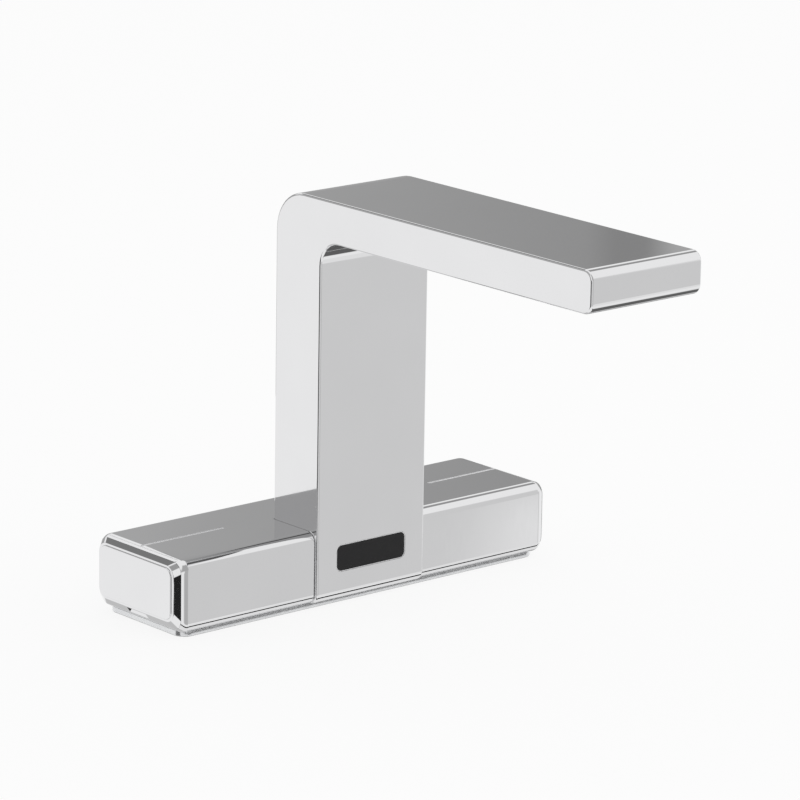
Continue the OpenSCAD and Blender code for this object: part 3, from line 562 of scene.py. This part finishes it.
corners = [(x, y) for x in (-corner_x, corner_x) for y in (-corner_y, corner_y)]
hose_holes = [(x, PORT_Y, HOSE_HOLE) for x in (-PORT_X, PORT_X)]


def drill(holes, low_z, high_z):
    """Upright round cutters at x, y with a radius, all between two heights."""
    return [rod((x, y, low_z), (x, y, high_z), radius) for x, y, radius in holes]


floor_holes = hose_holes + [(x, y, BASE_SCREW_HOLE) for x, y in corners]
drills = drill(floor_holes, bar_low.z - OVER, bar_low.z + BAR_WALL + OVER)
cut(bar, [notch] + lines + drills)
# The notch's edges are broken at the front; on top they stay sharp against the upright.
NOTCH_EDGE = 0.35 * MM
RIM_ANGLE = math.radians(60)
work = bmesh.new()
work.from_mesh(bar.data)
notch_x = spout_high.x + PLAY
rims = [
    edge
    for edge in work.edges
    if all(abs(abs(v.co.x) - notch_x) < PLAY / 2 for v in edge.verts)
    and all(v.co.y < bar_low.y + BAR_CORNER - PLAY / 2 for v in edge.verts)
    and edge.calc_face_angle(0) > RIM_ANGLE
]
bmesh.ops.bevel(
    work, geom=rims, offset=NOTCH_EDGE, segments=5, profile=0.5, affect="EDGES", clamp_overlap=False
)
work.to_mesh(bar.data)
work.free()
# Engraved chrome: the tool breaks the mirror, so the groove is a soft pale satin.
engraved, tree, shader = start_material("engraved_chrome", Metallic=0.4, Roughness=0.55)
tint(tree, shader, grain(tree, 2 * MM), "E4E4E5", "EAEAEB")
vary(tree, shader, "Roughness", grain(tree, 0.2 * MM), 0.5, 0.65)
bar.data.materials.append(chrome)
bar.data.materials.append(engraved)
for face in bar.data.polygons:
    in_groove = abs(face.center.y - LINE_BACK) < LINE_WIDE / 2 + PLAY
    below_top = bar_high.z - LINE_DEEP - PLAY < face.center.z < bar_high.z - PLAY / 2
    face.material_index = int(in_groove and below_top)
finish_piece(bar, chrome, "tap", "bar_body")


# Check valves over the two ports: moulded seats and poppets of white acetal, satin and
# slightly see-through at the edges.
white_acetal, tree, shader = start_material(
    "white_acetal", Roughness=0.35, Subsurface_Weight=0.1, Subsurface_Scale=0.5 * MM
)
tint(tree, shader, grain(tree, 2 * MM), "E6E6E2", "EFEFEB")
vary(tree, shader, "Roughness", grain(tree, 0.4 * MM), 0.28, 0.44)
dress(white_acetal, "check_valve_seats", "hot_check_poppet", "cold_check_poppet")
dress(white_acetal, "mixing_cartridge")


# Mixing cartridge's discs. Alumina, pressed, fired and lapped flat: a dense white with a
# quiet polish.
alumina, tree, shader = start_material("lapped_alumina", Roughness=0.16, IOR=1.76)
tint(tree, shader, grain(tree, 1.5 * MM), "EEEEEA", "F4F4F0")
vary(tree, shader, "Roughness", grain(tree, 0.4 * MM), 0.1, 0.22)
dress(alumina, "fixed_disc", "moving_disc")


# Solenoid coil and control unit. The winding is moulded into black nylon; the electronics
# are potted in dark epoxy, which sets with a skin that flows gently over what it covers.
coil_nylon, tree, shader = start_material("moulded_nylon", Roughness=0.4)
tint(tree, shader, grain(tree, 3 * MM), "161617", "202022")
vary(tree, shader, "Roughness", grain(tree, 0.4 * MM), 0.34, 0.5)
relief(tree, shader, grain(tree, 1.1 * MM, 0, (1, 0.05, 0.05)), 0.04 * MM)
dress(coil_nylon, "solenoid_coil")

potting, tree, shader = start_material("potting_epoxy", Roughness=0.25, IOR=1.55)
tint(tree, shader, grain(tree, 6 * MM), "25292A", "313638")
vary(tree, shader, "Roughness", grain(tree, 3 * MM), 0.15, 0.35)
relief(tree, shader, grain(tree, 7 * MM, 1), 0.15 * MM)
dress(potting, "control_unit")


# Battery and its contacts. Two cells in one shrunk sleeve of blue PVC, which shows faint
# ripples; the contact studs are gold-plated brass.
sleeve, tree, shader = start_material("shrunk_pvc_sleeve", Roughness=0.28, IOR=1.53)
tint(tree, shader, grain(tree, 5 * MM), "223A66", "2B467A")
vary(tree, shader, "Roughness", grain(tree, 1 * MM), 0.2, 0.36)
relief(tree, shader, grain(tree, 2.5 * MM, 2, (0.3, 1, 1)), 0.05 * MM)
dress(sleeve, "battery_pack")

gold, tree, shader = start_material("gold_plating", Metallic=1, Roughness=0.16)
tint(tree, shader, grain(tree, 1 * MM), "EACB86", "F2D696")
vary(tree, shader, "Roughness", grain(tree, 0.2 * MM), 0.12, 0.24)
dress(gold, "battery_contacts")


# End caps. Moulded ABS, plated bright: a rim that slopes in, more so at the bottom, a narrow
# ledge, a raised face, and a notch in the lower edge to pull the cap out by.
CAP_RISE, CAP_CORNER, CAP_SKIN = 2 * MM, 4 * MM, 0.4 * MM
LEAN_SIDE, LEAN_TOP, LEAN_LOW = 1.7 * MM, 1.3 * MM, 2.65 * MM
LEDGE_SIDE, LEDGE = 1.2 * MM, 0.85 * MM
CAP_EDGE = 0.12 * MM
FACE_EDGE = 0.2 * MM
NOTCH_LONG, NOTCH_HIGH = 10.7 * MM, 2.4 * MM
cap_low, cap_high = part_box("right_end_cap")
cap_x1 = cap_low.x + CAP_RISE


def cap_ring(x, share, extra=0, face=0):
    """An outline of the cap: share of the slope, then further in, face being on the step."""
    side = LEAN_SIDE * share + LEDGE_SIDE * face + extra
    top = LEAN_TOP * share + LEDGE * face + extra
    bottom = LEAN_LOW * share + LEDGE * face + extra
    radius = CAP_CORNER - LEDGE * face - extra
    return section(x, cap_low, cap_high, side, top, bottom, radius)


cap_bow, face_bow = CAP_EDGE * EDGE_BOW, FACE_EDGE * EDGE_BOW
cap_rings = [
    cap_ring(cap_low.x, 0),
    cap_ring(cap_x1 - CAP_EDGE, 1 - CAP_EDGE / CAP_RISE),
    cap_ring(cap_x1 - cap_bow, 1, -cap_bow),
    cap_ring(cap_x1, 1, CAP_EDGE),
    cap_ring(cap_x1, 1, 0, 1),
    cap_ring(cap_high.x - FACE_EDGE, 1, 0, 1),
    cap_ring(cap_high.x - face_bow, 1, face_bow, 1),
    cap_ring(cap_high.x, 1, FACE_EDGE, 1),
]

# Chrome on plastic: the same mirror with a faint unevenness from the mould.
plated_abs, tree, shader = start_material("chrome_plated_abs", Metallic=1, Roughness=0.04)
tint(tree, shader, grain(tree, 20 * MM), "E6E6E7", "E8E8E9")
vary(tree, shader, "Roughness", grain(tree, 1.2 * MM, 3), 0.03, 0.07)
relief(tree, shader, grain(tree, 9 * MM, 0), 0.004 * MM)
bay_depth = bar_size.y - 2 * BAR_WALL
CAPS = ((-1, "battery_drawer", "left_end_cap"), (1, "right_cap", "right_end_cap"))
for side, body, node in CAPS:
    rings = [[(side * x, y, z) for x, y, z in ring] for ring in cap_rings]
    cap = stand(skin(rings), node + "_moulding")
    outer = sorted((side * (cap_low.x + CAP_SKIN), side * (cap_high.x + OVER)))
    finger = block(
        (outer[0], -NOTCH_LONG / 2, cap_low.z - OVER),
        (outer[1], NOTCH_LONG / 2, cap_low.z + NOTCH_HIGH),
    )
    hole_ends = side * (cap_low.x - OVER), side * (cap_x1 - CAP_SKIN)
    holes = []
    for y in (-bay_depth / 4, bay_depth / 4):
        holes.append(rod((hole_ends[0], y, bar_z), (hole_ends[1], y, bar_z), BASE_SCREW_HOLE))
    cut(cap, [finger] + holes)
    finish_piece(cap, plated_abs, body, node)


# Base plate. A zinc plate that the bar stands on, cast, ground flat and lacquered pale grey.
# It stands in from the bar all round, so only its rim shows as a thin step over the deck; a
# low lip on the rim closes the seam under the bar's rounded edge.
BASE_EDGE, BASE_CORNER = 0.35 * MM, 4.5 * MM
LIP_HIGH, LIP_WIDE = 0.28 * MM, 0.4 * MM
STUD_HOLE, STUD_Y = 4.4 * MM, -11.475 * MM
GASKET_WIDE, GASKET_IN = 3 * MM, 1.5 * MM
base_low, base_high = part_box("base_plate")
base_size = base_high - base_low


def base_ring(inset, z):
    """The base plate's outline, drawn in by inset, at height z."""
    radius = max(BASE_CORNER - inset, SIDE_EDGE)
    loop = rounded_loop(base_size.x - 2 * inset, base_size.y - 2 * inset, radius)
    return [(x, y, z) for x, y in loop]


base_rings = [base_ring(inset, base_low.z + along) for inset, along in round_edge(BASE_EDGE, 3)]
base_rings += [
    base_ring(0, base_high.z + LIP_HIGH),
    base_ring(LIP_WIDE, base_high.z + LIP_HIGH / 2),
    base_ring(2 * LIP_WIDE, base_high.z),
]
base = stand(skin(base_rings), "base_casting")
groove_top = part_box("deck_gasket")[1].z + PLAY
outer, inner = GASKET_IN, GASKET_IN + GASKET_WIDE + 2 * PLAY
groove_steps = [(outer, base_low.z - OVER), (outer, groove_top)]
groove_steps += [(inner, groove_top), (inner, base_low.z - OVER)]
groove = skin([base_ring(*step) for step in groove_steps], joined=True)
BLOCK_SCREW_X = 19 * MM
screw_spots = corners + [(x, STUD_Y) for x in (-BLOCK_SCREW_X, BLOCK_SCREW_X)]
through = hose_holes + [(x, STUD_Y, STUD_HOLE) for x in (-PORT_X, PORT_X)]
through += [(x, y, SCREW_SHANK + PLAY / 2) for x, y in screw_spots]
sink_low, sink_high = base_low.z + PLAY, base_low.z + PLAY + HEAD_DEEP
sinks = [
    rod((x, y, sink_low), (x, y, sink_high), SCREW_HEAD + PLAY, SCREW_SHANK)
    for x, y in screw_spots
]
sinks += drill([(x, y, SCREW_HEAD + PLAY) for x, y in screw_spots], base_low.z - OVER, sink_low)
cut(base, [groove] + drill(through, base_low.z - OVER, base_high.z + OVER) + sinks)
# Lacquered zinc: a smooth pale grey with a soft gloss and the faintest orange peel.
lacquered_zinc, tree, shader = start_material(
    "lacquered_zinc", Metallic=0.7, Roughness=0.15, Coat_Weight=0.3, Coat_Roughness=0.05
)
tint(tree, shader, grain(tree, 9 * MM), "E2E3E5", "E8E9EA")
vary(tree, shader, "Roughness", grain(tree, 1.2 * MM), 0.12, 0.2)
relief(tree, shader, grain(tree, 2 * MM), 0.003 * MM)
# Painted shade: the underside and lower rounding of the base are painted dark grey, standing in for
# the contact shadow along the base's bottom edge.
painted_edge_shade, tree, shader = start_material("base_edge_shade", Metallic=0.3, Roughness=0.6)
tint(tree, shader, grain(tree, 4 * MM), "4A4B4D", "58595B")
vary(tree, shader, "Roughness", grain(tree, 0.3 * MM, 2, (1, 0.1, 1)), 0.5, 0.7)
base.data.materials.append(lacquered_zinc)
base.data.materials.append(painted_edge_shade)
DOWNWARD = -0.3
# Faces low on the plate that face down get the painted shade.
for face in base.data.polygons:
    shade_edge_face = face.center.z < base_low.z + BASE_EDGE
    face.material_index = int(shade_edge_face and face.normal.z < DOWNWARD)
finish_piece(base, lacquered_zinc, "tap", "base_plate")


# Studio. A pale floor that keeps a faint shadow, one big soft lamp, and a light tent whose
# cards the chrome shows: where a card stands is given by bearing and height in degrees.
FLOOR_SIZE = 40
GLOW_SHARE = 0.86
floor_work = bmesh.new()
bmesh.ops.create_grid(floor_work, x_segments=1, y_segments=1, size=FLOOR_SIZE / 2)
floor = stand(floor_work, "studio_floor")
floor.visible_glossy = False
paper = bpy.data.materials.new("white_paper")
paper.use_nodes = True
tree = paper.node_tree
tree.nodes.clear()
matt = add_node(tree, "ShaderNodeBsdfDiffuse", {"Color": linear("EEEEEE")})
glow = add_node(tree, "ShaderNodeEmission", {"Color": linear("FFFFFF"), "Strength": 1.0})
rays = add_node(tree, "ShaderNodeLightPath")
seen = add_node(
    tree,
    "ShaderNodeMath",
    {0: rays.outputs["Is Camera Ray"], 1: rays.outputs["Is Transmission Ray"]},
    operation="MAXIMUM",
)
share = add_node(tree, "ShaderNodeMath", {0: seen.outputs[0], 1: GLOW_SHARE}, operation="MULTIPLY")
mixed = add_node(
    tree, "ShaderNodeMixShader", {0: share.outputs[0], 1: matt.outputs[0], 2: glow.outputs[0]}
)
add_node(tree, "ShaderNodeOutputMaterial", {"Surface": mixed.outputs[0]})
floor.data.materials.append(paper)

# Paper flags that only the chrome sees: a grey one behind the tap, which the left half of the
# bar shows along its front edge, and on the floor the pale sheet the tap stands on, with a
# dark strip, a painted contact shadow, that draws the thin line along the lower edges.
FLAGS = (
    # name, colour, low corner, high corner
    ("grey_flag", "A9A9A9", (-0.040, 0.057, 0.058), (0.090, 0.058, 0.170)),
    ("pale_sheet", "F2F2F2", (-0.090, -0.0263, -0.002), (0.095, -0.0216, -0.001)),
    # painted contact shadow: a dark strip on the floor in front of the base, seen only in the
    # chrome
    ("contact_shadow_strip", "101010", (-0.090, -0.0285, -0.002), (0.095, -0.0263, -0.001)),
)
for name, colour, low, high in FLAGS:
    flag = stand(block(low, high), name)
    for kind in ("camera", "diffuse", "transmission", "shadow"):
        setattr(flag, "visible_" + kind, False)
    card = bpy.data.materials.new(name)
    card.use_nodes = True
    tree = card.node_tree
    tree.nodes.clear()
    tone = add_node(tree, "ShaderNodeEmission", {"Color": linear(colour), "Strength": 1.0})
    add_node(tree, "ShaderNodeOutputMaterial", {"Surface": tone.outputs[0]})
    flag.data.materials.append(card)

LAMP_AT, LAMP_AIM = Vector((0.9, -0.7, 1.5)), Vector((0, 0, 0.05))
lamp = bpy.data.lights.new("soft_box", "AREA")
lamp.shape = "RECTANGLE"
lamp.size, lamp.size_y = 1.6, 1.2
lamp.energy = 5
lamp_stand = bpy.data.objects.new("soft_box", lamp)
lamp_stand.location = LAMP_AT
lamp_stand.rotation_euler = (LAMP_AT - LAMP_AIM).to_track_quat("Z", "Y").to_euler()
lamp_stand.visible_glossy = False
bpy.context.scene.collection.objects.link(lamp_stand)

tent = bpy.data.worlds.new("light_tent")
bpy.context.scene.world = tent
tent.use_nodes = True
tree = tent.node_tree
tree.nodes.clear()
way = add_node(tree, "ShaderNodeTexCoord").outputs["Generated"]
parts = add_node(tree, "ShaderNodeSeparateXYZ", {0: way})
bearing_angle = add_node(
    tree, "ShaderNodeMath", {0: parts.outputs["Y"], 1: parts.outputs["X"]}, operation="ARCTAN2"
)
height_angle = add_node(tree, "ShaderNodeMath", {0: parts.outputs["Z"]}, operation="ARCSINE")
bearing = add_node(tree, "ShaderNodeMath", {0: bearing_angle.outputs[0]}, operation="DEGREES")
height = add_node(tree, "ShaderNodeMath", {0: height_angle.outputs[0]}, operation="DEGREES")


def edge_fade(distance, half, soft):
    """One inside the card, nothing outside, with a soft edge."""
    size = add_node(tree, "ShaderNodeMath", {0: distance}, operation="ABSOLUTE")
    return add_node(
        tree,
        "ShaderNodeMapRange",
        {"Value": size.outputs[0], "From Min": half + soft, "From Max": half - soft},
        interpolation_type="SMOOTHSTEP",
    ).outputs["Result"]


def hang_card(under, level, middle, half, middle_height, half_height, soft):
    """Hangs a card of one brightness in the tent, before what hangs there already."""
    turned = add_node(
        tree, "ShaderNodeMath", {0: bearing.outputs[0], 1: middle}, operation="SUBTRACT"
    )
    wrapped = add_node(
        tree, "ShaderNodeMath", {0: turned.outputs[0], 1: 180.0, 2: -180.0}, operation="WRAP"
    )
    lifted = add_node(
        tree, "ShaderNodeMath", {0: height.outputs[0], 1: middle_height}, operation="SUBTRACT"
    )
    mask = add_node(
        tree,
        "ShaderNodeMath",
        {
            0: edge_fade(wrapped.outputs[0], half, soft),
            1: edge_fade(lifted.outputs[0], half_height, soft),
        },
        operation="MULTIPLY",
    )
    ends = {"Factor": mask.outputs[0], "A": under, "B": level}
    return add_node(tree, "ShaderNodeMix", ends, data_type="FLOAT").outputs["Result"]


# The low wall behind: its tone along the bearing, with one dark joint in it
WALL_START, WALL_SPAN = 45, 8
along = add_node(
    tree,
    "ShaderNodeMapRange",
    {"Value": bearing.outputs[0], "From Min": WALL_START, "From Max": WALL_START + WALL_SPAN},
)
wall = add_node(tree, "ShaderNodeValToRGB", {"Fac": along.outputs["Result"]})
WALL_TONES = (
    # bearing, brightness
    (45.8, 0.42),
    (46.15, 0.26),
    (46.55, 0.26),
    (46.9, 0.315),
    (48.0, 0.335),
    (50.0, 0.37),
    (51.6, 0.40),
    (52.5, 0.43),
)
for place, tone in WALL_TONES:
    stop = wall.color_ramp.elements.new((place - WALL_START) / WALL_SPAN)
    stop.color = (tone, tone, tone, 1)
wall.color_ramp.elements.remove(wall.color_ramp.elements[0])
wall.color_ramp.elements.remove(wall.color_ramp.elements[-1])
CARDS = (
    # brightness, bearing, half width, height, half height, soft edge
    (wall.outputs["Color"], 95, 90, 6, 13, 2),  # grey wall behind, low
    (wall.outputs["Color"], 52, 3, 20, 8, 1),  # a taller piece of it
    (0.71, -50, 21, -9, 12, 1.5),  # grey paper on the right, in front
    (0.71, -60, 14, 10, 21, 1.5),  # its taller left part
    (0.50, -84, 17, -10, 20, 5),  # its darker end
    (0.89, -44, 4, -25, 9.5, 0.6),  # a pale strip below them
    (0.34, 28, 16, 46, 9, 2),  # grey card high behind on the right
    (0.22, 98, 17, 43, 8, 1.5),  # dark strip high behind
    (0.02, -130, 6, -14, 14, 1),  # black card beside the camera
    (0.02, 177, 26, -14, 14, 1.5),  # a wider one on the left
    (0.45, -95, 33, 33, 27, 6),  # grey cloth above the black card
    (0.45, 128, 14, 28, 10, 3),  # grey cloth behind on the left
    (0.50, 158, 22, 23, 8, 3),  # a paler piece of it, further round
    (0.38, 173, 34, 44, 11, 2),  # grey card high on the left
    (0.03, 157, 9, 45, 4, 1.5),  # black strip in it
    (0.60, 60, 85, -62, 28, 4),  # grey floor close by
    (0.08, 47, 10, -25, 8, 2),  # dark gap over the floor behind
    (0.13, -20, 45, -48, 4.5, 1),  # dark seam in the floor
)
CLOTH_LEVEL = 0.98
level = CLOTH_LEVEL
for card in CARDS:
    level = hang_card(level, *card)
glossy_rays = add_node(tree, "ShaderNodeLightPath")
plain = add_node(tree, "ShaderNodeBackground", {"Color": linear("FAFAFA"), "Strength": 0.9})
cards = add_node(tree, "ShaderNodeBackground", {"Color": linear("FFFFFF"), "Strength": level})
both = add_node(
    tree,
    "ShaderNodeMixShader",
    {0: glossy_rays.outputs["Is Glossy Ray"], 1: plain.outputs[0], 2: cards.outputs[0]},
)
add_node(tree, "ShaderNodeOutputWorld", {"Surface": both.outputs[0]})


# Camera. It looks at the left end and the front from a little above, through a long lens.
CAMERA_AT = Vector((-1.0578, -1.2646, 0.5022))
CAMERA_RIGHT = Vector((0.7594, -0.6504, 0.0155)).normalized()
CAMERA_AHEAD = Vector((0.6321, 0.7319, -0.2543)).normalized()
camera = bpy.data.cameras.new("studio_camera")
camera.lens = 213.5
camera.sensor_width = 36
camera.clip_start, camera.clip_end = 0.05, 100
camera_stand = bpy.data.objects.new("studio_camera", camera)
upward = CAMERA_RIGHT.cross(CAMERA_AHEAD).normalized()
right = CAMERA_AHEAD.cross(upward)
turn = Matrix((right, upward, -CAMERA_AHEAD)).transposed().to_4x4()
camera_stand.matrix_world = Matrix.Translation(CAMERA_AT) @ turn
bpy.context.scene.collection.objects.link(camera_stand)
bpy.context.scene.camera = camera_stand
bpy.context.scene.view_settings.view_transform = "Standard"
